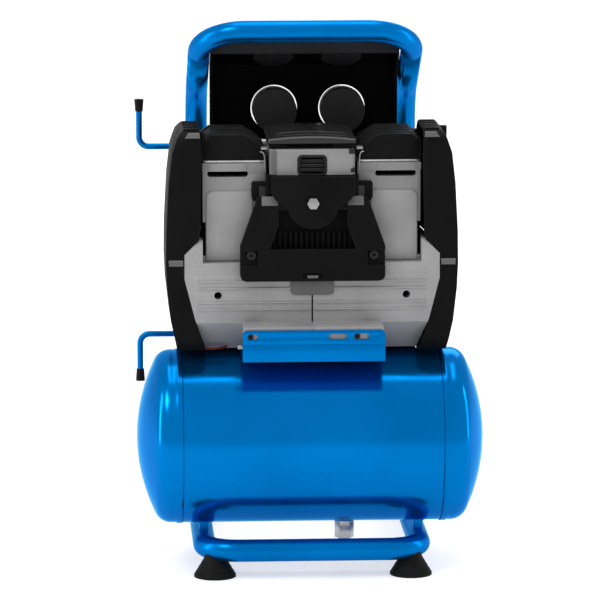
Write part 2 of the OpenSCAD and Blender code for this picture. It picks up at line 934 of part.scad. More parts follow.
module cylinder_block() {
    difference() {
        union() {
            box([cyl_in, cyl_front, housing_top + 0.2], [cyl_out, cyl_back, 452.5]);
            box([cyl_in, cyl_front - 2, 452.4], [cyl_out + 0.4, cyl_back, deck_z]);
            box([73, cyl_front - 3.5, 452.4], [114, cyl_front, deck_z]);
            slab_xz(cyl_front - 1.4, cyl_front + 1) cylinder_pad();
        }
        translate([cyl_x, pump_y, 340]) cylinder(r = bore_r, h = 140);
        slab_xz(cyl_front - 2, cyl_front + 11) slot_xz(70.6, 116, 449, 3.4);
        box([117.6, cyl_front - 2, 357], [122, cyl_front + 5, 395]);
    }
}

// Raised pad on the front of a barrel, with a rounded outer corner
module cylinder_pad() {
    corner = 8;
    top_z = 430;
    translate([66, 353]) square([117 - corner - 66, top_z - 353]);
    translate([66, 353]) square([117 - 66, top_z - corner - 353]);
    translate([117 - corner, top_z - corner]) circle(corner);
}

module cylinder_right() {
    at_tank() color(grey) cylinder_block();
}

module cylinder_left() {
    at_tank() color(grey) mirror([1, 0, 0]) cylinder_block();
}

module valve_plates() {
    at_tank() color(steel) mirror_copy() difference() {
        box([cyl_in + 1, -34, deck_z + 0.1], [cyl_out - 1, cyl_back - 1, head_z - 0.1]);
        for (y = [pump_y - 12, pump_y + 12]) translate([cyl_x, y, deck_z - 1]) cylinder(r = 4, h = 6);
        for (x = head_bolt_x, y = head_bolt_y) translate([x, y, deck_z - 1]) cylinder(r = 3.2, h = 6);
    }
}

head_bolt_x = [cyl_in + 7, cyl_out - 7];
head_bolt_y = [-27, 38];

module fin_outline() {
    polygon([
        [cyl_in + 0.7, head_z], [cyl_out + 0.4, head_z], [cyl_out + 0.4, 485.5], [111.5, 492.8],
        [75, 492.8], [59.5, 483.5], [cyl_in + 0.7, 476]
    ]);
}

module cylinder_head() {
    difference() {
        union() {
            intersection() {
                slab_xz(-35, 50) fin_outline();
                box([0, -36, head_z], [130, 51, 473]);
            }
            for (y = [-35 : 12.6 : 40.6]) slab_xz(y, y + 6) fin_outline();
            slab_xz(44, 50) fin_outline();
        }
        box([cyl_x - 22, pump_y - 22, head_z - 1], [cyl_x + 22, pump_y + 22, 470]);
        for (x = head_bolt_x, y = head_bolt_y) translate([x, y, head_z - 1]) cylinder(r = 3.2, h = 40);
        for (x = head_bolt_x, y = head_bolt_y) translate([x, y, 472.9]) cylinder(r = 6.5, h = 40);
    }
}

module cylinder_head_right() {
    at_tank() color(black) cylinder_head();
}

module cylinder_head_left() {
    at_tank() color(black) mirror([1, 0, 0]) cylinder_head();
}

module head_bolts() {
    at_tank() color(steel) mirror_copy() for (x = head_bolt_x, y = head_bolt_y)
        translate([x, y, 0]) {
            translate([0, 0, 473]) cylinder(r = 5, h = 5);
            translate([0, 0, deck_z + 0.2]) cylinder(r = 3, h = 473.1 - deck_z - 0.2);
        }
}

// ---- side covers ----

cover_low = 249;
cover_top = 498;
cover_skin = 3;

// The barrel-shaped outer edge of a cover, seen from the front, from the top down
cover_outer = [
    [124, cover_top], [143, cover_top], [149.5, 490], [155.2, 473], [159, 440], [160.3, 415],
    [161.9, 386], [162.4, 350], [161.2, 322], [157.1, 285], [152.7, 265], [149.5, cover_low]
];
// The inner edge, from the bottom up, with the step beside the cylinder
cover_inner = [
    [118.5, cover_low], [131.5, 290], [142.6, 333], [142.4, 361], [125.8, 377], [124.4, 385], [122.5, 470]
];

module cover_side(inset) {
    depth = housing_back - housing_front;
    translate([(housing_back + housing_front) / 2, (cover_top + cover_low) / 2])
        round_rect(depth - 2 * inset, cover_top - cover_low - 2 * inset, 22 - inset);
}

module cover_shell() {
    difference() {
        intersection() {
            slab_xz(housing_front, housing_back) polygon(concat(cover_outer, cover_inner));
            slab_yz(100, 170) cover_side(0);
        }
        intersection() {
            translate([-cover_skin, 0, 0]) slab_xz(housing_front, housing_back)
                polygon(concat([[90, cover_top]], [for (p = cover_outer) if (p[0] > 140) p],
                               [[90, cover_low]]));
            slab_yz(80, 162) cover_side(cover_skin);
        }
    }
}

module cover_vents() {
    for (z = [262 : 10 : 342]) {
        half = sqrt(max(0, 42 * 42 - (z - crank_z) * (z - crank_z)));
        if (half > 8) box([145, pump_y - half, z - 2.4], [170, pump_y + half, z + 2.4]);
    }
}

module side_cover() {
    difference() {
        cover_shell();
        cover_vents();
    }
    // Flange behind the cylinder that closes the gap beside it
    box([112, 50.5, 377.2], [125.5, 59.5, 486]);
}

module side_cover_right() {
    at_tank() color(black) {
        side_cover();
        box([144, 46, 479], [157, 57, 490]);
    }
}

module side_cover_left() {
    at_tank() color(black) mirror([1, 0, 0]) side_cover();
}

// ---- front bracket, air guide, intake and filter ----

bracket_front = -62;
bracket_back = -51.5;
guide_front = -67;
boss_x = 68;
boss_z = 361;

module bracket_bosses() {
    at_tank() color(grey) mirror_copy() translate([boss_x, 0, boss_z]) difference() {
        union() {
            rod_y(bracket_front + 1.5, bracket_front + 5.95, 5);
            rod_y(bracket_front + 5.9, bracket_back, 2);
        }
        rod_y(bracket_front, bracket_front + 7, 1.6);
    }
}

module front_bracket() {
    at_tank() color(black) difference() {
        slab_xz(bracket_front, bracket_back) bracket_outline();
        slab_xz(bracket_front - 1, bracket_back + 1) bracket_window();
        mirror_copy() box([60.4, bracket_front - 1, 349.3], [81, bracket_front + 6, 366.3]);
        box([-12, bracket_front - 1, 334.6], [12, bracket_front + 3, 341.6]);
        mirror_copy() translate([boss_x, 0, boss_z]) rod_y(-60, -45, 2.05);
        // Sloping tops of the two arms
        mirror_copy() slab_yz(36, 62) polygon([
            [bracket_front - 1, 417], [bracket_front, 417], [bracket_back - 2, 426.1],
            [bracket_back - 2, 430], [bracket_front - 1, 430]
        ]);
        translate([0, 0, guide_bolt_z]) rod_y(bracket_front - 1, bracket_back + 1, 4.05);
    }
}

module bracket_outline() {
    polygon([
        [-74, 332], [74, 332], [78.6, 334], [80.4, 338], [80.4, 371], [61, 426], [38, 426], [30, 440],
        [-30, 440], [-38, 426], [-61, 426], [-80.4, 371], [-80.4, 338], [-78.6, 334]
    ]);
}

module bracket_window() {
    polygon([[-47.5, 367.8], [47.5, 367.8], [38.2, 395], [38.2, 412], [-38.2, 412], [-38.2, 395]]);
}

// Upper duct between the cylinders, its rounded front plate and its side pegs
module air_guide() {
    at_tank() color(black) difference() {
        union() {
            box([-45, -40, housing_top + 0.3], [45, 48, 448]);
            for (x = [-42 : 6 : 42]) box([x - 1, -48, housing_top + 0.3], [x + 1, -39, 386]);
            slab_xz(guide_front, bracket_front - 0.2) guide_outline();
            box([-28, bracket_front - 0.3, 441], [28, -39, 449.4]);
            // Rear wall that fills the space between the cylinders
            box([-50.8, 41, housing_top + 0.3], [50.8, 48, 448]);
        }
        box([-42, -37, housing_top - 1], [42, 45, 445]);
        translate([0, 0, guide_bolt_z]) rod_y(guide_front - 1, bracket_back, 4.05);
    }
}

module guide_outline() {
    r = 28.6;
    translate([0, guide_bolt_z]) circle(r);
    polygon([[-46.8, 450], [46.8, 450], [46.8, 432], [42, 424], [r, 414], [-r, 414], [-42, 424], [-46.8, 432]]);
}

module intake_plate() {
    at_tank() color(grey) difference() {
        union() {
            slab_xz(-56, 46) polygon([[-40, 450.2], [44, 450.2], [44, 477.8], [-40, 477.8]]);
            slab_xz(-52, 46) polygon([[-47, 450.2], [46.8, 450.2], [46.8, 474], [-47, 477.8]]);
        }
        box([-42, -46, 449], [42, 43, 475]);
        translate([-0.5, 0, 460.7]) slab_xz(-57, -45) round_rect(28.8, 20.3, 4);
    }
    at_tank() color(grey) for (z = [454.5, 459.5, 464.5]) box([-15, -52, z], [14, -46, z + 2]);
}

module filter_cover() {
    at_tank() color(black) difference() {
        union() {
            slab_yz(-48.5, 48.5) polygon([
                [-46, 478], [-46, 486], [-40, 491], [58, 493.5], [60, 491], [60, 478]
            ]);
            for (y = [-30 : 14 : 54]) box([-44, y, 488], [44, y + 5, 494.5]);
        }
        box([-45, -42, 477], [45, 57, 487.5]);
    }
}

module filter_element() {
    at_tank() color([0.85, 0.83, 0.75]) box([-38, -34, 478.4], [38, 50, 487]);
}

tank_shell();
tank_head_left();
tank_head_right();
tank_ports();
base_frame();
frame_uprights();
handle_frame();
rubber_feet();
cord_hook_upper();
cord_hook_lower();
hook_caps();
pump_platform();
mount_screws();
guide_bolt();
pump_mounts();
drain_valve();
drain_screw();
check_valve_body();
check_valve_poppet();
air_pipes();
unloader_pipe();
pressure_switch();
switch_knob();
cable_gland();
manifold();
regulator_body();
regulator_knob();
gauge_casings();
gauge_dials();
gauge_lenses();
gauge_needle_tank();
gauge_needle_outlet();
coupler_bodies();
coupler_sleeve_left();
coupler_sleeve_right();
safety_valve_body();
safety_valve_ring();
control_panel();
pan_screws();
motor_housing_left();
motor_housing_right();
stator();
crankshaft();
rotor();
shaft_bearings();
eccentrics();
piston_left();
piston_right();
cylinder_left();
cylinder_right();
valve_plates();
cylinder_head_left();
cylinder_head_right();
head_bolts();
fans();
side_cover_left();
side_cover_right();
front_bracket();
bracket_bosses();
air_guide();
intake_plate();
filter_cover();
filter_element();
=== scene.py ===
import json
import math

import bmesh
import bpy
from mathutils import Matrix, Vector


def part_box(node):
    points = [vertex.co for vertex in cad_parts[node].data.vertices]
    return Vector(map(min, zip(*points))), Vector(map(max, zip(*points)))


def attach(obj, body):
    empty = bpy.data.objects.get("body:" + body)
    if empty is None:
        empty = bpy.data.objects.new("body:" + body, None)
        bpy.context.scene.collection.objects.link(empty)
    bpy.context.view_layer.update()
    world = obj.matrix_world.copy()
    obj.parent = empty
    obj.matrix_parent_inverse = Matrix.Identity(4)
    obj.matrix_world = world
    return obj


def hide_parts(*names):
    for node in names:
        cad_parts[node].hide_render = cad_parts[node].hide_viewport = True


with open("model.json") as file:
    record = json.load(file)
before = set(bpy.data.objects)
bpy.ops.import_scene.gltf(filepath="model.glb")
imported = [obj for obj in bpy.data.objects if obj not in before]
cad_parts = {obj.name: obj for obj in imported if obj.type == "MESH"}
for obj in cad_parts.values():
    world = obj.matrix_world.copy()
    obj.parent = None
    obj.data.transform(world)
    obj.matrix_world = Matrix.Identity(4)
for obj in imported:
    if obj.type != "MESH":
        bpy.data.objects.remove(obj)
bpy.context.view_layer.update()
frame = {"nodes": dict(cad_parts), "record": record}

MM = 0.001
NODES = frame["nodes"]


def centre(node):
    lo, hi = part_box(node)
    return (lo + hi) / 2


# Pieces are drawn in millimetres: x and y from the tank's axis, z from the floor
TANK_Y = centre("tank_shell").y


def at(x, y, z):
    """A point drawn in tank millimetres, in the row frame."""
    return Vector((x * MM, y * MM + TANK_Y, z * MM))


# ---------------------------------------------------------------- camera, light and floor

SENSOR_MM, LENS_MM = 36.0, 287.6
CAMERA_PLACE = (-295.85, -5291.74, 1207.44)
CAMERA_YAW, CAMERA_PITCH = 3.081, 9.711


def make_camera():
    data = bpy.data.cameras.new("camera")
    data.sensor_width = SENSOR_MM
    data.lens = LENS_MM
    data.clip_start = 0.1
    data.clip_end = 60.0
    cam = bpy.data.objects.new("camera", data)
    yaw, pitch = math.radians(CAMERA_YAW), math.radians(CAMERA_PITCH)
    cam.location = at(*CAMERA_PLACE)
    flat = math.cos(pitch)
    look = Vector((math.sin(yaw) * flat, math.cos(yaw) * flat, -math.sin(pitch)))
    cam.rotation_euler = look.to_track_quat("-Z", "Y").to_euler()
    bpy.context.scene.collection.objects.link(cam)
    bpy.context.scene.camera = cam


def area_light(name, place, aim, size, watts, tint=(1, 1, 1)):
    data = bpy.data.lights.new(name, "AREA")
    data.shape = "RECTANGLE"
    data.size, data.size_y = size
    data.energy = watts
    data.color = tint
    lamp = bpy.data.objects.new(name, data)
    lamp.location = place
    lamp.rotation_euler = (Vector(aim) - Vector(place)).to_track_quat("-Z", "Y").to_euler()
    bpy.context.scene.collection.objects.link(lamp)


def make_lights():
    scene = bpy.context.scene
    scene.view_settings.view_transform = "Standard"
    world = bpy.data.worlds.new("studio")
    world.use_nodes = True
    world.node_tree.nodes["Background"].inputs["Color"].default_value = (1, 1, 1, 1)
    world.node_tree.nodes["Background"].inputs["Strength"].default_value = 1.0
    scene.world = world
    aim = (0, 0, 0.3)
    area_light("key", (-1.6, -1.4, 2.6), aim, (0.9, 0.9), 22)
    area_light("left_strip", (-2.2, -0.2, 0.8), (0, 0, 0.25), (0.35, 1.8), 13)
    area_light("right_strip", (2.2, 0.1, 0.8), (0, 0, 0.25), (0.35, 1.8), 9)
    area_light("top", (0, 0.5, 3.0), aim, (1.6, 1.6), 22)
    area_light("rear", (0.8, 3.0, 1.8), aim, (1.4, 1.2), 14)


FLOOR_HALF = 14.0


def make_floor():
    mesh = bpy.data.meshes.new("floor")
    r = FLOOR_HALF
    mesh.from_pydata([(-r, -r, 0), (r, -r, 0), (r, r, 0), (-r, r, 0)], [], [(0, 1, 2, 3)])
    floor = bpy.data.objects.new("floor", mesh)
    bpy.context.scene.collection.objects.link(floor)
    mat = bpy.data.materials.new("pale_floor")
    mat.use_nodes = True
    bsdf = mat.node_tree.nodes["Principled BSDF"]
    bsdf.inputs["Base Color"].default_value = (0.62, 0.62, 0.62, 1)
    bsdf.inputs["Emission Color"].default_value = (1, 1, 1, 1)
    bsdf.inputs["Emission Strength"].default_value = 0.5
    bsdf.inputs["Roughness"].default_value = 0.6
    bsdf.inputs["Specular IOR Level"].default_value = 0.1
    mesh.materials.append(mat)


# ---------------------------------------------------------------- materials

class Look:
    """A Principled shader whose colour, roughness and bump come from object-space patterns."""

    def __init__(self, name):
        self.mat = bpy.data.materials.new(name)
        self.mat.use_nodes = True
        self.tree = self.mat.node_tree
        self.bsdf = self.tree.nodes["Principled BSDF"]
        self.coord = self.node("ShaderNodeTexCoord").outputs["Object"]
        self.height = None

    def node(self, kind, **settings):
        n = self.tree.nodes.new(kind)
        for key, value in settings.items():
            setattr(n, key, value)
        return n

    def link(self, a, b):
        self.tree.links.new(a, b)

    def set(self, **values):
        for key, value in values.items():
            self.bsdf.inputs[key.replace("_", " ")].default_value = value
        return self

    def noise(self, scale, detail=3.0, rough=0.5, stretch=(1, 1, 1)):
        """Noise from 0 to 1, whose grain is 1/scale metres."""
        place = self.node("ShaderNodeMapping")
        place.inputs["Scale"].default_value = stretch
        self.link(self.coord, place.inputs["Vector"])
        n = self.node("ShaderNodeTexNoise")
        n.inputs["Scale"].default_value = scale
        n.inputs["Detail"].default_value = detail
        n.inputs["Roughness"].default_value = rough
        self.link(place.outputs["Vector"], n.inputs["Vector"])
        return n.outputs["Fac"]

    def ramp(self, fac, low, high, start=0.35, end=0.65):
        r = self.node("ShaderNodeValToRGB")
        r.color_ramp.elements[0].position = start
        r.color_ramp.elements[1].position = end
        r.color_ramp.elements[0].color = (*low, 1)
        r.color_ramp.elements[1].color = (*high, 1)
        self.link(fac, r.inputs["Fac"])
        return r.outputs["Color"]

    def spread(self, fac, low, high, start=0.3, end=0.7):
        m = self.node("ShaderNodeMapRange")
        m.inputs["From Min"].default_value = start
        m.inputs["From Max"].default_value = end
        m.inputs["To Min"].default_value = low
        m.inputs["To Max"].default_value = high
        self.link(fac, m.inputs["Value"])
        return m.outputs["Result"]

    def edges(self, radius=0.0012):
        """1 on convex edges and 0 elsewhere, by comparing bevelled and true normals."""
        bevel = self.node("ShaderNodeBevel", samples=4)
        bevel.inputs["Radius"].default_value = radius
        geo = self.node("ShaderNodeNewGeometry")
        dot = self.node("ShaderNodeVectorMath", operation="DOT_PRODUCT")
        self.link(bevel.outputs["Normal"], dot.inputs[0])
        self.link(geo.outputs["Normal"], dot.inputs[1])
        return self.spread(dot.outputs["Value"], 1.0, 0.0, 0.8, 0.98)

    def mix(self, fac, a, b):
        m = self.node("ShaderNodeMix", data_type="RGBA")
        for value, socket in ((fac, m.inputs[0]), (a, m.inputs[6]), (b, m.inputs[7])):
            if isinstance(value, bpy.types.NodeSocket):
                self.link(value, socket)
            elif isinstance(value, tuple):
                socket.default_value = (*value, 1)
            else:
                socket.default_value = value
        return m.outputs[2]

    def color(self, socket):
        self.link(socket, self.bsdf.inputs["Base Color"])
        return self

    def rough(self, socket):
        self.link(socket, self.bsdf.inputs["Roughness"])
        return self

    def bump(self, fac, strength, depth_mm):
        b = self.node("ShaderNodeBump")
        b.inputs["Strength"].default_value = strength
        b.inputs["Distance"].default_value = depth_mm * MM
        self.link(fac, b.inputs["Height"])
        if self.height is not None:
            self.link(self.height, b.inputs["Normal"])
        self.height = b.outputs["Normal"]
        self.link(self.height, self.bsdf.inputs["Normal"])
        return self


def scaled(color, k):
    return tuple(c * k for c in color)


def painted(name, color, roughness, grain, dents):
    """Metallic enamel: slight orange peel and faint tone drift."""
    m = Look(name)
    m.color(m.ramp(m.noise(9, 2), scaled(color, 0.93), scaled(color, 1.06)))
    m.rough(m.spread(m.noise(35, 4), roughness * 0.85, roughness * 1.25))
    m.bump(m.noise(grain, 2, 0.4), dents, 0.06)
    m.set(Metallic=0.88, Specular_IOR_Level=0.1)
    m.bsdf.inputs["Specular Tint"].default_value = (0.02, 0.62, 1.0, 1)
    return m.mat


def moulded(name, color, roughness, specular, scale=1400, depth=0.03):
    """Injection-moulded plastic with a fine spark-eroded texture, paler on its edges: partly wear, partly
    painted highlight.
    """
    m = Look(name)
    # Paler edges: partly wear, partly a painted highlight where edges catch the light.
    wear_and_highlight_edge = tuple(c * 1.3 + 0.012 for c in color)
    tone_and_lit_edges = m.mix(m.edges(), m.ramp(m.noise(14, 3), scaled(color, 0.85), scaled(color, 1.2)), wear_and_highlight_edge)
    m.color(tone_and_lit_edges)
    m.rough(m.spread(m.noise(60, 4), roughness * 0.88, roughness * 1.15))
    m.bump(m.noise(scale, 2), 0.35, depth)
    m.set(Specular_IOR_Level=specular)
    return m.mat


def cast_metal(name, color, roughness, metallic, scale=700, depth=0.08, lift_for_wear_and_highlight=0.0):
    """Shot-blasted die casting: pitted, with darker pores and paler edges: partly wear, partly painted
    highlight.
    """
    m = Look(name)
    tone = m.ramp(m.noise(22, 4), scaled(color, 0.9), scaled(color, 1.07))
    pores = m.ramp(m.noise(900, 1), (0.75, 0.75, 0.75), (1, 1, 1), 0.28, 0.4)
    both = m.node("ShaderNodeMix", data_type="RGBA", blend_type="MULTIPLY")
    both.inputs[0].default_value = 1.0
    m.link(tone, both.inputs[6])
    m.link(pores, both.inputs[7])
    # Paler edges: partly wear, partly a painted highlight where edges catch the light.
    m.color(m.mix(m.edges(), both.outputs[2], tuple(c * 1.35 + lift_for_wear_and_highlight for c in color)))
    m.rough(m.spread(m.noise(80, 4), roughness * 0.85, roughness * 1.15))
    m.bump(m.noise(scale, 3), 0.4, depth)
    m.set(Metallic=metallic, Specular_IOR_Level=0.08 if metallic == 0 else 0.3)
    return m.mat


def machined(name, color, roughness, stretch=(1, 60, 60), tint=0.12):
    """Turned or drawn metal: fine directional lines and slight staining."""
    m = Look(name)
    lines = m.noise(220, 3, 0.6, stretch)
    m.color(m.mix(m.spread(m.noise(40, 3), 0, tint * 4), color, scaled(color, 0.6)))
    m.rough(m.spread(lines, roughness * 0.7, roughness * 1.4))
    m.bump(lines, 0.15, 0.02)
    m.set(Metallic=1.0)
    return m.mat


def rubbery(name, color):
    m = Look(name)
    m.color(m.ramp(m.noise(30, 4), scaled(color, 0.8), scaled(color, 1.5)))
    m.rough(m.spread(m.noise(90, 3), 0.6, 0.8))
    m.bump(m.noise(900, 2), 0.4, 0.05)
    m.set(Specular_IOR_Level=0.12)
    return m.mat


def paper(name, color):
    m = Look(name)
    m.color(m.ramp(m.noise(60, 4), scaled(color, 0.9), color))
    m.bump(m.noise(1500, 2), 0.4, 0.05)
    m.set(Roughness=0.85, Specular_IOR_Level=0.2)
    return m.mat


def glass(name):
    m = Look(name)
    m.rough(m.spread(m.noise(50, 2), 0.02, 0.06))
    m.set(Transmission_Weight=1.0, IOR=1.05)
    m.bsdf.inputs["Base Color"].default_value = (0.97, 0.99, 1.0, 1)
    return m.mat


def make_looks():
    return {
        "blue_paint": painted("blue_enamel", (0.0, 0.14, 0.43), 0.17, 420, 0.05),
        "black_plastic": moulded("black_moulding", (0.004, 0.004, 0.004), 0.55, 0.05),
        "black_casting": cast_metal("black_casting", (0.0032, 0.0032, 0.0032), 0.5, 0.0, lift_for_wear_and_highlight=0.05),
        "grey_casting": cast_metal("grey_casting", (0.27, 0.27, 0.272), 0.5, 0.1),
        "bare_aluminium": machined("drawn_aluminium", (0.62, 0.62, 0.64), 0.32, (60, 60, 1)),
        "steel": machined("zinc_steel", (0.58, 0.58, 0.57), 0.3, (1, 1, 1)),
        "chrome": machined("plated_steel", (0.72, 0.72, 0.73), 0.14, (1, 40, 1), 0.05),
        "brass": machined("turned_brass", (0.66, 0.47, 0.2), 0.28, (1, 40, 1)),
        "rubber": rubbery("black_rubber", (0.0035, 0.0035, 0.0035)),
        "red_plastic": moulded("red_moulding", (0.5, 0.015, 0.012), 0.3, 0.4, 900, 0.02),
        "white_plastic": paper("dial_card", (0.82, 0.82, 0.8)),
        "clear_lens": glass("clear_window"),
        "filter_paper": paper("pleated_paper", (0.75, 0.7, 0.56)),
    }


def make_trim_looks():
    """Finishes of the small pieces, each a variant of a record slot's; several of them are painted shade or
    painted highlight.
    """
    return {
        # Darker blue: painted shade along the seams where the heads meet the shell.
        "seam": painted("seam_shadow", (0.0, 0.05, 0.2), 0.4, 420, 0.1),
        # Dark grey: painted shade on the housing tab in the bracket's shadow and on the intake's left
        # bevel.
        "tab": cast_metal("shaded_grey_casting", (0.09, 0.09, 0.092), 0.5, 0.1),
        "upper": cast_metal("upper_grey_casting", (0.22, 0.22, 0.222), 0.5, 0.1),
        # Near-black: painted shade on the back of the control panel and on the sheet under the pump.
        "panel": moulded("shade_black_sheet", (0.0012, 0.0012, 0.0012), 0.6, 0.03),
        "bolt": machined("grey_zinc", (0.3, 0.3, 0.3), 0.35, (1, 1, 1)),
        # Near-black: painted shade inside slots, recesses, sockets and the intake, and the dark joint line
        # of the housing.
        "gap": moulded("shadow_gap", (0.0012, 0.0012, 0.0012), 0.8, 0.01),
        "lid": moulded("satin_black_lid", (0.006, 0.006, 0.006), 0.3, 0.45, 1600, 0.015),
        # Paler black: painted highlight on chamfers, facets and the bracket clip that catch the light.
        "facet": moulded("highlight_black", (0.09, 0.09, 0.092), 0.4, 0.3),
        "mark": moulded("dial_print", (0.01, 0.01, 0.01), 0.6, 0.2),
        "tube": painted("blue_enamel_tube", (0.0, 0.14, 0.43), 0.3, 420, 0.05),
        "lead": moulded("dark_red_sleeve", (0.1, 0.004, 0.004), 0.5, 0.2),
        "cap": moulded("grey_black_moulding", (0.012, 0.012, 0.0125), 0.5, 0.12),
    }


# ---------------------------------------------------------------- mesh tools

SMOOTH_ANGLE, FLAT_ANGLE = 32, 0.8
WELD_MM = 0.02


def smooth_group():
    """Node tree that shades smooth everything but edges sharper than its limit."""
    tree = bpy.data.node_groups.new("shade_by_angle", "GeometryNodeTree")
    tree.interface.new_socket("Geometry", in_out="INPUT", socket_type="NodeSocketGeometry")
    tree.interface.new_socket("Geometry", in_out="OUTPUT", socket_type="NodeSocketGeometry")
    node = tree.nodes.new
    start, end = node("NodeGroupInput"), node("NodeGroupOutput")
    faces, edges = node("GeometryNodeSetShadeSmooth"), node("GeometryNodeSetShadeSmooth")
    edges.domain = "EDGE"
    angle = node("GeometryNodeInputMeshEdgeAngle")
    flat = node("FunctionNodeCompare")
    flat.operation = "LESS_EQUAL"
    flat.inputs[1].default_value = math.radians(SMOOTH_ANGLE)
    tree.links.new(start.outputs[0], faces.inputs["Geometry"])
    tree.links.new(faces.outputs[0], edges.inputs["Geometry"])
    tree.links.new(angle.outputs["Unsigned Angle"], flat.inputs[0])
    tree.links.new(flat.outputs[0], edges.inputs["Shade Smooth"])
    tree.links.new(edges.outputs[0], end.inputs[0])
    return tree


SMOOTH = smooth_group()


def shade(obj):
    mod = obj.modifiers.new("shade", "NODES")
    mod.node_group = SMOOTH


def soften(obj, width_mm, segments=2, angle=34):
    """Rounds the edges of a mesh by a bevel of that width, after merging its flat facets."""
    weld = obj.modifiers.new("weld", "WELD")
    weld.merge_threshold = WELD_MM * MM
    if width_mm:
        flat = obj.modifiers.new("flat", "DECIMATE")
        flat.decimate_type = "DISSOLVE"
        flat.angle_limit = math.radians(FLAT_ANGLE)
        round_off = obj.modifiers.new("round", "BEVEL")
        round_off.limit_method = "ANGLE"
        round_off.angle_limit = math.radians(angle)
        round_off.width = width_mm * MM
        round_off.segments = segments
        round_off.use_clamp_overlap = True
    shade(obj)


# The control panel's near-black is painted shade: its back, seen here, lies in shade.
NODE_LOOK = {
    "control_panel": "panel", "gauge_casings": "cap", "bracket_bosses": "cap", "intake_plate": "upper",
    "guide_bolt": "bolt", "cylinder_left": "upper", "cylinder_right": "upper",
    "base_frame": "tube", "frame_uprights": "tube", "handle_frame": "tube", "cord_hook_upper": "tube",
    "cord_hook_lower": "tube",
}


def dress_nodes(looks, trim):
    """Gives every CAD node its slot's material, or a trim variant of it, and rounded edges."""
    slots = {s["node"]: s["material_slot"] for s in frame["record"]["subparts"]}
    for name, obj in NODES.items():
        mesh = obj.data
        if "custom_normal" in mesh.attributes:
            mesh.attributes.remove(mesh.attributes["custom_normal"])
        mesh.materials.clear()
        mesh.materials.append(trim[NODE_LOOK[name]] if name in NODE_LOOK else looks[slots[name]])
        soften(obj, EDGE_MM.get(name, 0.4))


# ---------------------------------------------------------------- piece tools

def add_piece(name, bm, look, body="frame", edge_mm=0.0, segments=2):
    """Turns mesh data into a named piece that rides a body, with its finish and softened edges."""
    bmesh.ops.recalc_face_normals(bm, faces=bm.faces)
    mesh = bpy.data.meshes.new(name)
    bm.to_mesh(mesh)
    bm.free()
    mesh.materials.append(look)
    obj = bpy.data.objects.new(name, mesh)
    bpy.context.scene.collection.objects.link(obj)
    soften(obj, edge_mm, segments)
    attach(obj, body)
    return obj


def prism(bm, outline, place, depth):
    """Extrudes a closed 2D outline; place(u, v, w) puts a point, with w from 0 to depth."""
    low = [bm.verts.new(place(u, v, 0)) for u, v in outline]
    high = [bm.verts.new(place(u, v, depth)) for u, v in outline]
    bm.faces.new(low)
    bm.faces.new(list(reversed(high)))
    n = len(outline)
    for i in range(n):
        j = (i + 1) % n
        bm.faces.new((low[j], low[i], high[i], high[j]))


def front_slab(bm, outline, y0, y1):
    """A shape drawn in x and z, from y0 back to y1."""
    prism(bm, outline, lambda u, v, w: at(u, y0 + w, v), y1 - y0)


def side_slab(bm, outline, x0, x1):
    """A shape drawn in y and z, from x0 to x1."""
    prism(bm, outline, lambda u, v, w: at(x0 + w, u, v), x1 - x0)


def block(bm, lo, hi):
    front_slab(bm, [(lo[0], lo[2]), (hi[0], lo[2]), (hi[0], hi[2]), (lo[0], hi[2])], lo[1], hi[1])


def round_outline(x0, x1, z0, z1, r, steps=5):
    """A rectangle with rounded corners."""
    pts = []
    corners = ((x1 - r, z1 - r, 0), (x0 + r, z1 - r, 90), (x0 + r, z0 + r, 180), (x1 - r, z0 + r, 270))
    for cx, cz, start in corners:
        for i in range(steps + 1):
            a = math.radians(start + 90 * i / steps)
            pts.append((cx + r * math.cos(a), cz + r * math.sin(a)))
    return pts


def arc(x, z, r, degrees):
    """Points of a circle at the given angles."""
    return [(x + r * math.cos(math.radians(a)), z + r * math.sin(math.radians(a))) for a in degrees]


def disc_outline(x, z, r, n=32):
    turn = 2 * math.pi
    return [(x + r * math.cos(turn * i / n), z + r * math.sin(turn * i / n)) for i in range(n)]


def ring_plate(bm, outer, inner, y0, y1):
    """A flat ring between two outlines of equally many points, from y0 back to y1."""
    rows = [[bm.verts.new(at(u, y, v)) for u, v in line]
            for line, y in ((outer, y0), (outer, y1), (inner, y1), (inner, y0))]
    n = len(outer)
    for k in range(4):
        a, b = rows[k], rows[(k + 1) % 4]
        for i in range(n):
            j = (i + 1) % n
            bm.faces.new((a[i], a[j], b[j], b[i]))


def sweep(bm, path, radius, sides=10, closed=False):
    """A round rod along points. radius is in millimetres, or a function of the point's index."""
    n = len(path)
    rings = []
    up = Vector((0.13, 0.31, 0.94)).normalized()
    for i, p in enumerate(path):
        a = path[(i - 1) % n] if closed or i > 0 else p
        b = path[(i + 1) % n] if closed or i < n - 1 else p
        along = (b - a).normalized()
        side = along.cross(up).normalized()
        up = side.cross(along).normalized()
        r = (radius(i) if callable(radius) else radius) * MM
        rings.append([bm.verts.new(p + r * (side * math.cos(t) + up * math.sin(t)))
                      for t in (2 * math.pi * k / sides for k in range(sides))])
    last = n if closed else n - 1
    for i in range(last):
        a, b = rings[i], rings[(i + 1) % n]
        turn = 0
        if closed and i == n - 1:
            turn = min(range(sides), key=lambda k: (a[0].co - b[k].co).length)
        for k in range(sides):
            j = (k + 1) % sides
            bm.faces.new((a[k], a[j], b[(j + turn) % sides], b[(k + turn) % sides]))
    if not closed:
        bm.faces.new(list(reversed(rings[0])))
        bm.faces.new(rings[-1])


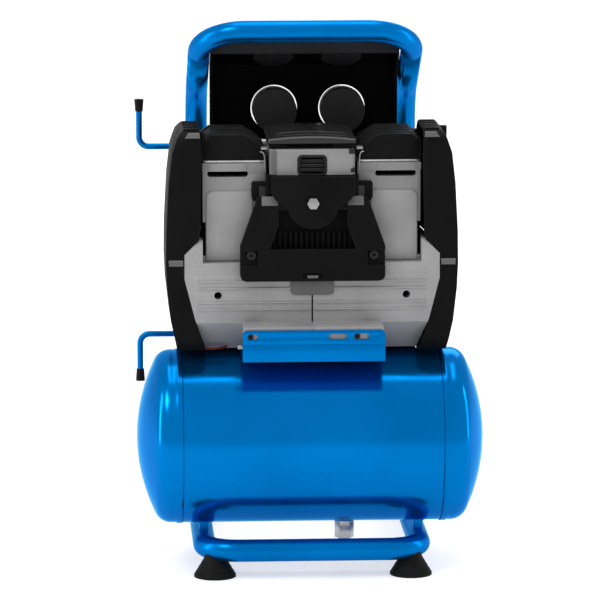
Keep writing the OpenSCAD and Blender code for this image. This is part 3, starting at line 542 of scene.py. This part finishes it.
def smooth_path(points, steps=8):
    """Points along a Catmull-Rom curve through the given ones."""
    pts = [points[0]] + list(points) + [points[-1]]
    out = []
    for a, b, c, d in zip(pts, pts[1:], pts[2:], pts[3:]):
        for i in range(steps):
            t = i / steps
            out.append(0.5 * ((2 * b) + (c - a) * t + (2 * a - 5 * b + 4 * c - d) * t * t
                              + (3 * b - a - 3 * c + d) * t ** 3))
    out.append(points[-1])
    return out


def bead(bm, path, radius, closed=True, pitch=3):
    """A weld bead: a rod whose radius ripples as each pool of metal freezes."""
    sweep(bm, path, lambda i: radius * (1 + 0.16 * math.sin(2 * math.pi * i / pitch)), 8, closed)


# ---------------------------------------------------------------- tank and frame details

TANK_R, TANK_Z, TUBE_R, TUBE_X = 97.5, 147.0, 12.5, 120.5
BASE_Z, UPRIGHT_Y, SHELL_X = 31.0, 200.0, 145.0
PORT_X, PORT_Y, DRAIN_X = 92.0, 75.0, 39.0
HOOK_Z = (448.0, 228.0)
BOSS_BEAD_R, HOOK_BEAD_R = 11.2, 3.7


def tank_surface(y, sign=1):
    return TANK_Z + sign * math.sqrt(TANK_R ** 2 - y ** 2)


def circle_points(n, fn):
    return [fn(2 * math.pi * i / n) for i in range(n)]


def boss_ring(x, y, sign, lift):
    """A circle round an upright boss, lying on the tank's top (1) or underside (-1)."""
    return circle_points(60, lambda t: at(x + BOSS_BEAD_R * math.cos(t), y + BOSS_BEAD_R * math.sin(t),
                                          tank_surface(y + BOSS_BEAD_R * math.sin(t), sign) + lift))


def tank_seams(trim):
    # A thin dark ring on each head seam: painted shade for the shading line along the seam.
    r = TANK_R + 0.1
    for side, label in ((-1, "left"), (1, "right")):
        bm = bmesh.new()
        x = side * (SHELL_X - 0.2)
        ring = circle_points(144, lambda t: at(x, r * math.cos(t), TANK_Z + r * math.sin(t)))
        sweep(bm, ring, 0.5, 8, True)
        add_piece("tank_seam_" + label, bm, trim["seam"])


def weld_beads(looks):
    bm = bmesh.new()
    foot_r = TUBE_R + 0.3
    for side in (-1, 1):
        bead(bm, circle_points(72, lambda t: at(side * TUBE_X + foot_r * math.cos(t),
                                                UPRIGHT_Y + foot_r * math.sin(t),
                                                BASE_Z + TUBE_R * abs(math.sin(t)) + 0.6)), 1.5)
        bead(bm, boss_ring(side * PORT_X, PORT_Y, 1, 0.4), 1.6)
        for edge in (-5.2, 5.2):
            line = [at(side * TUBE_X + edge, y, tank_surface(y, -1) - 0.3) for y in range(-26, 27)]
            bead(bm, line, 1.3, False)
        for edge in (49.8, 62.2):
            line = [at(side * edge, y, tank_surface(y) + 0.3) for y in range(-25, 26)]
            bead(bm, line, 1.4, False)
    bead(bm, boss_ring(DRAIN_X, 0, -1, -0.4), 1.4)
    for z in HOOK_Z:
        bead(bm, circle_points(24, lambda t: at(
            -TUBE_X - math.sqrt(TUBE_R ** 2 - (HOOK_BEAD_R * math.cos(t)) ** 2) - 0.2,
            UPRIGHT_Y + HOOK_BEAD_R * math.cos(t), z + HOOK_BEAD_R * math.sin(t))), 1.2)
    add_piece("weld_beads", bm, looks["blue_paint"])


# ---------------------------------------------------------------- pump front

def intake_details(trim):
    bm = bmesh.new()
    outer = round_outline(-17.0, 16.0, 449.2, 472.6, 5.2)
    inner = round_outline(-14.2, 13.2, 451.6, 469.8, 3.6)
    ring_plate(bm, outer, inner, -56.6, -47.0)
    for x0, x1, z0, z1 in ((40.2, 47.0, 473.6, 478.2), (42.4, 47.0, 452.8, 457.2)):
        block(bm, (x0, -56.8, z0), (x1, -48, z1))
    for z in (453.6, 458.6, 463.6):
        side_slab(bm, [(-54.5, z), (-54.5, z + 1.6), (-48.0, z + 4.4), (-48.0, z + 2.8)], -14.4, 13.4)
    add_piece("intake_louvres", bm, trim["cap"], edge_mm=0.3)
    # The intake's left bevel in dark grey: painted shade on a face turned from the light.
    bm = bmesh.new()
    prism(bm, [(-47.0, -52.2), (-39.6, -56.4), (-39.6, -52.2)], lambda u, v, w: at(u, v, 450.3 + w), 27.2)
    add_piece("intake_bevel", bm, trim["tab"], edge_mm=0.2)
    # A near-black plate behind the louvres: painted shade inside the intake.
    bm = bmesh.new()
    block(bm, (-41, -45.8, 451), (41, -44.6, 474))
    add_piece("intake_shade_backing", bm, trim["gap"], edge_mm=0.2)


LID_HALF, LID_FRONT, LID_DEPTH, LID_BASE_Z = 48.5, -46, 106, 484.0
LID_RIBS = (-28.0, -9.0, 12.0, 33.0)


def lid_top(x, y):
    """Height of the filter lid over a point: crowned across, rounded at the front, with four low ribs."""
    crown = 491.6 - 3.2 * (x / LID_HALF) ** 2 + 1.4 * (y - LID_FRONT) / LID_DEPTH
    rib = 0.0
    for y0 in LID_RIBS:
        rib = max(rib, 0.9 - abs(y - y0) * 0.35)
    front = min(1.0, (y - LID_FRONT) / 5.0)
    drop = 3.6 * (1 - math.sqrt(max(0.0, 1 - (1 - front) ** 2)))
    return crown + max(0.0, rib) * (1 if abs(x) < 43 else 0) - drop


def filter_lid(looks, trim):
    xs = [-48.5, -48.0, -46.0] + [-43.0 + 86.0 * i / 22 for i in range(23)] + [46.0, 48.0, 48.5]
    ys = [-46.0, -45.7, -45.0, -44.0, -42.5, -41.0]
    ys += [-38.0 + 96.0 * i / 60 for i in range(61)] + [59.2, 60.0]
    bm = bmesh.new()
    top = [[bm.verts.new(at(x, y, lid_top(x, y) - (1.0 if abs(x) > 48.2 else 0) - (1.2 if y > 59.5 else 0)))
            for x in xs] for y in ys]
    low = [[bm.verts.new(at(x, y, LID_BASE_Z)) for x in xs] for y in ys]
    for grid, flip in ((top, False), (low, True)):
        for i in range(len(ys) - 1):
            for j in range(len(xs) - 1):
                quad = (grid[i][j], grid[i][j + 1], grid[i + 1][j + 1], grid[i + 1][j])
                bm.faces.new(quad if not flip else tuple(reversed(quad)))
    far, side = len(ys) - 1, len(xs) - 1
    rim = [(0, j) for j in range(side + 1)] + [(i, side) for i in range(1, far + 1)]
    rim += [(far, j) for j in range(side - 1, -1, -1)] + [(i, 0) for i in range(far - 1, 0, -1)]
    for (a, b), (c, d) in zip(rim, rim[1:] + rim[:1]):
        bm.faces.new((top[a][b], low[a][b], low[c][d], top[c][d]))
    lid = add_piece("filter_lid", bm, trim["lid"])
    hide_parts("filter_cover")
    bm = bmesh.new()
    block(bm, (-47.5, -44.6, 478.1), (47.5, 59, 484.2))
    add_piece("filter_tray", bm, looks["black_plastic"], edge_mm=0.6)
    # A near-black plate in the lid's front slot: painted shade in the recess.
    bm = bmesh.new()
    front_slab(bm, round_outline(-28.6, 23.1, 479.9, 482.9, 1.0), -44.9, -43.0)
    add_piece("lid_recess", bm, trim["gap"], edge_mm=0.1)


def lid_clips(trim):
    """Bright wire clips that hold the lid down on both sides."""
    bm = bmesh.new()
    for s in (-1, 1):
        block(bm, (min(s * 49.5, s * 56.5), -42, 476.8), (max(s * 49.5, s * 56.5), -30, 479.4))
        path = [at(s * 57.5, -43, 474.5), at(s * 54.6, -43.5, 473.8), at(s * 53.0, -44, 470.5),
                at(s * 52.4, -44, 464), at(s * 52.3, -44, 458)]
        sweep(bm, smooth_path(path), 0.8, 8)
    add_piece("lid_clips", bm, trim["bolt"], edge_mm=0.3)


def guide_ears(looks):
    """Black lugs of the air guide that hook over the cylinders beside the bracket's arms."""
    bm = bmesh.new()
    for s in (-1, 1):
        outline = [(50.8, 441.2), (65.8, 441.2), (67.2, 439.6), (67.2, 424.0), (65.0, 420.0), (58.8, 420.0),
                   (58.8, 436.5), (50.8, 436.5)]
        front_slab(bm, [(s * x, z) for x, z in outline], -47.5, -37.6)
        block(bm, (min(s * 46.5, s * 51.4), -52, 424), (max(s * 46.5, s * 51.4), -36, 450))
    add_piece("guide_ears", bm, looks["black_plastic"], edge_mm=0.7)


def housing_details(looks, trim):
    # The centre tab sits in the bracket's shadow; its dark grey is painted shade.
    bm = bmesh.new()
    outline = [(-24.0, 333.0), (24.0, 333.0)]
    outline += arc(19, 320, 5, (0, -30, -60, -90)) + arc(-19, 320, 5, (270, 240, 210, 180))
    front_slab(bm, outline, -52.6, -49.0)
    add_piece("housing_tab", bm, trim["tab"], edge_mm=0.6)
    bm = bmesh.new()
    block(bm, (-0.7, -50.5, 285), (0.7, -48, 315))
    block(bm, (-0.7, 59.0, 285), (0.7, 60.5, 350))
    add_piece("housing_joint", bm, trim["gap"], edge_mm=0.1)
    bm = bmesh.new()
    for s in (-1, 1):
        hole = (s * 104.8, 314.7)
        ring_plate(bm, disc_outline(*hole, 6.6), disc_outline(*hole, 4.4), -50.9, -49.5)
        for z in (330.7, 322.6, 306.8, 299.1):
            start = 2.0 if z < 315 else 25.0
            sweep(bm, [at(s * x, -51.1, z) for x in (start, 60.0, 90.0, 127.0)], 1.25, 12)
        # Fillet under the cylinder's foot
        side_slab(bm, [(-50.0, 345.0), (-45.0, 350.9), (-37.0, 350.9), (-37.0, 345.0)],
                  *sorted((s * 51.0, s * 121.0)))
    add_piece("housing_bosses", bm, looks["grey_casting"], edge_mm=0.3)


def shadow_inserts(looks, trim):
    bm = bmesh.new()
    for s in (-1, 1):
        front_slab(bm, round_outline(*sorted((s * 71.0, s * 115.6)), 445.9, 452.1, 3.0), -27.2, -26.0)
        block(bm, (min(s * 117.7, s * 121.0), -31.5, 357.3), (max(s * 117.7, s * 121.0), -30.5, 394.7))
    add_piece("slot_shadows", bm, trim["gap"], edge_mm=0.1)
    # A near-black sheet across the gap under the pump: painted shade there.
    bm = bmesh.new()
    side_slab(bm, [(38, 236.8), (40, 236.8), (40, 266), (38, 266)], -122, 122)
    add_piece("belly_shade_sheet", bm, trim["panel"], edge_mm=0.3)
    # Paler strips on the chamfers at the top of the bracket's arms: painted highlight.
    bm = bmesh.new()
    for s in (-1, 1):
        side_slab(bm, [(-62.2, 417.2), (-61.7, 417.0), (-53.7, 425.9), (-54.2, 426.3)],
                  *sorted((s * 38.5, s * 56.5)))
    add_piece("bracket_facets", bm, trim["facet"], edge_mm=0.15)
    # A paler strip on the fascia: painted light where the fascia faces front and is lit, against the shaded
    # panel.
    bm = bmesh.new()
    front_slab(bm, round_outline(-106.6, 106.6, 567.4, 580.4, 1.2), 94.2, 95.2)
    add_piece("lit_fascia_strip", bm, trim["cap"], edge_mm=0.3)
    bm = bmesh.new()
    for s in (-1, 1):
        for y0 in (-34.0, -18.0, -2.0, 14.0, 30.0):
            ridge = [(y0, 496.0), (y0, 498.6), (y0 + 1.2, 499.4), (y0 + 8.0, 499.0), (y0 + 9.5, 496.0)]
            side_slab(bm, ridge, *sorted((s * 125.0, s * 142.0)))
    add_piece("cover_ridges", bm, looks["black_plastic"], edge_mm=0.5)


def cylinder_pads(looks):
    """Machined pads on the fronts of the barrels, with a rounded outer corner."""
    for s, label in ((-1, "left"), (1, "right")):
        outline = [(66, 352.5), (117, 352.5)] + arc(109, 422, 8, range(0, 91, 15)) + [(66, 430)]
        bm = bmesh.new()
        front_slab(bm, [(s * x, z) for x, z in outline], -38.0, -37.0)
        add_piece("cylinder_pad_" + label, bm, looks["grey_casting"], edge_mm=0.4)


def small_fittings(trim):
    bm = bmesh.new()
    prism(bm, disc_outline(-84.0, 262.5, 2.6, 20), lambda u, v, w: at(-79 - w, u, v), 5.5)
    add_piece("platform_stud", bm, trim["bolt"], edge_mm=0.4)
    bm = bmesh.new()
    path = [at(-122, -28, 251.5), at(-112, -30, 251.2), at(-101, -30, 252.4), at(-94, -26, 253.5)]
    sweep(bm, smooth_path(path), 1.2, 10)
    add_piece("sensor_lead", bm, trim["lead"])
    # A small clip in the bracket's bottom slot, paler than black: painted highlight.
    bm = bmesh.new()
    block(bm, (-6, -63, 335.6), (6, -59.6, 338.6))
    add_piece("bracket_clip", bm, trim["facet"], edge_mm=0.5)
    # Paler wedges on each side cover's top front corner and lower crease: painted highlight on facets that
    # catch the light.
    bm = bmesh.new()
    for s in (-1, 1):
        for outline in (((124.5, 491.0), (141.0, 491.0), (137.0, 497.2), (125.0, 497.2)),
                        ((143.5, 348.0), (159.0, 348.0), (159.5, 354.6), (143.5, 354.6))):
            vs = [bm.verts.new(at(s * x, -50.2, z)) for x, z in outline]
            ridge = [bm.verts.new(at(s * x, -51.7, z + 0.2)) for x, z in outline[:2]]
            bm.faces.new((ridge[0], ridge[1], vs[2], vs[3]))
            bm.faces.new((vs[0], vs[1], ridge[1], ridge[0]))
            bm.faces.new((vs[1], vs[2], ridge[1]))
            bm.faces.new((vs[0], ridge[0], vs[3]))
            bm.faces.new((vs[3], vs[2], vs[1], vs[0]))
    add_piece("cover_facets", bm, trim["facet"])
    # Near-black hexagons on the head bolts: painted shade in their sockets.
    bm = bmesh.new()
    for s in (-1, 1):
        for x in (58.0, 114.0):
            for y in (-27.0, 38.0):
                hexagon = arc(s * x, y, 2.6, range(0, 360, 60))
                prism(bm, hexagon, lambda u, v, w: at(u, v, 477.6 + w), 0.6)
    add_piece("bolt_sockets", bm, trim["gap"], edge_mm=0.1)


def boss_caps(trim):
    """Blanking discs under the fascia's two spare instrument places."""
    slope = math.radians(32)
    lower = Vector((0, -math.sin(slope), -math.cos(slope)))
    across = Vector((0, math.cos(slope), -math.sin(slope)))
    y = 118.5
    z = 581.0 - (y - 95.0) * math.tan(slope) - 2.0
    bm = bmesh.new()
    for x in (-35.0, 42.0):
        def place(u, v, w, origin=at(x, y, z)):
            return origin + MM * (u * Vector((1, 0, 0)) + v * across + (4.0 + w) * lower)

        prism(bm, disc_outline(0, 0, 22.6, 48), place, 0.8)
        prism(bm, disc_outline(0, 0, 8.0, 24), lambda u, v, w, place=place: place(u, v, w + 0.7), 1.2)
    add_piece("boss_caps", bm, trim["cap"], edge_mm=0.4)


# ---------------------------------------------------------------- operator side

GAUGES = (-33.5, 44.0)
GAUGE_Z, DIAL_Y = 499.5, 140.05
TICK_R, FIGURE_R = 21.4, 14.6


def dial_marks(trim):
    """Scale ticks and plain numbers, running clockwise for someone facing the panel."""
    bm = bmesh.new()
    for x in GAUGES:
        for i in range(51):
            a = math.radians(225 - 270 * i / 50)
            long = 3.4 if i % 10 == 0 else (2.4 if i % 5 == 0 else 1.5)
            half = 0.3 if i % 10 == 0 else 0.16
            ca, sa = -math.cos(a), math.sin(a)
            inner = TICK_R - long
            corners = [(TICK_R, -half), (TICK_R, half), (inner, half), (inner, -half)]
            pts = [(x + r * ca - h * sa, GAUGE_Z + r * sa + h * ca) for r, h in corners]
            prism(bm, pts, lambda u, v, w: at(u, DIAL_Y - 1.0 + w, v), 0.12)
    add_piece("dial_ticks", bm, trim["mark"])
    for k, x in enumerate(GAUGES):
        for i in range(6):
            a = math.radians(225 - 54 * i)
            curve = bpy.data.curves.new("figure", "FONT")
            curve.body = str(2 * i)
            curve.size = 4.6 * MM
            curve.extrude = 0.06 * MM
            curve.align_x, curve.align_y = "CENTER", "CENTER"
            temp = bpy.data.objects.new("figure", curve)
            mesh = bpy.data.meshes.new_from_object(temp)
            mesh.materials.clear()
            mesh.materials.append(trim["mark"])
            turn = Matrix(((-1, 0, 0), (0, 0, 1), (0, 1, 0))).to_4x4()
            spot = at(x - FIGURE_R * math.cos(a), DIAL_Y - 0.9, GAUGE_Z + FIGURE_R * math.sin(a))
            mesh.transform(Matrix.Translation(spot) @ turn)
            obj = bpy.data.objects.new("dial_figure_%d_%d" % (k, i), mesh)
            bpy.context.scene.collection.objects.link(obj)
            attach(obj, "frame")


def operator_details(looks):
    bm = bmesh.new()
    # Raised rims round the control plate, the switch knob and the regulator knob
    outer = round_outline(-104.0, 104.0, 405.0, 541.0, 7.0)
    inner = round_outline(-102.4, 102.4, 406.6, 539.4, 5.6)
    ring_plate(bm, outer, inner, 142.8, 144.0)
    for x, r in ((-76.0, 17.0), (5.0, 22.5)):
        ring_plate(bm, disc_outline(x, 450.0, r, 48), disc_outline(x, 450.0, r - 1.6, 48), 142.8, 143.9)
    add_piece("panel_rims", bm, looks["black_plastic"], edge_mm=0.3)
    bm = bmesh.new()
    for x in GAUGES:
        ring_plate(bm, disc_outline(x, GAUGE_Z, 25.4, 64), disc_outline(x, GAUGE_Z, 22.6, 64),
                   143.2, 147.2)
    add_piece("gauge_bezels", bm, looks["chrome"], edge_mm=0.5)
    bm = bmesh.new()
    path = [at(-64, 104, 388), at(-64, 104, 366), at(-63, 100, 345), at(-60, 80, 331),
            at(-58, 57, 328)]
    sweep(bm, smooth_path(path), 3.6, 12)
    add_piece("motor_lead", bm, looks["black_plastic"])
    bm = bmesh.new()
    for z in (300.0, 309.0, 318.0, 327.0):
        for s in (-1, 1):
            block(bm, (min(s * 8, s * 124), 59.0, z), (max(s * 8, s * 124), 61.4, z + 1.8))
    add_piece("rear_ribs", bm, looks["grey_casting"], edge_mm=0.4)


EDGE_MM = {
    "tank_shell": 0, "tank_head_left": 0.4, "tank_head_right": 0.4, "base_frame": 0, "handle_frame": 0,
    "frame_uprights": 0,
    "side_cover_left": 2.0, "side_cover_right": 2.0, "front_bracket": 1.2, "air_guide": 1.0,
    "filter_cover": 1.2, "control_panel": 1.0, "motor_housing_left": 1.2, "motor_housing_right": 1.2,
    "cylinder_left": 1.0, "cylinder_right": 1.0, "cylinder_head_left": 0.9, "cylinder_head_right": 0.9,
    "pump_platform": 0.8, "intake_plate": 0.8, "rubber_feet": 0.8, "hook_caps": 0.5,
}


def main():
    make_camera()
    make_lights()
    make_floor()
    looks, trim = make_looks(), make_trim_looks()
    dress_nodes(looks, trim)
    tank_seams(trim)
    weld_beads(looks)
    intake_details(trim)
    filter_lid(looks, trim)
    lid_clips(trim)
    guide_ears(looks)
    housing_details(looks, trim)
    shadow_inserts(looks, trim)
    cylinder_pads(looks)
    small_fittings(trim)
    boss_caps(trim)
    dial_marks(trim)
    operator_details(looks)


main()
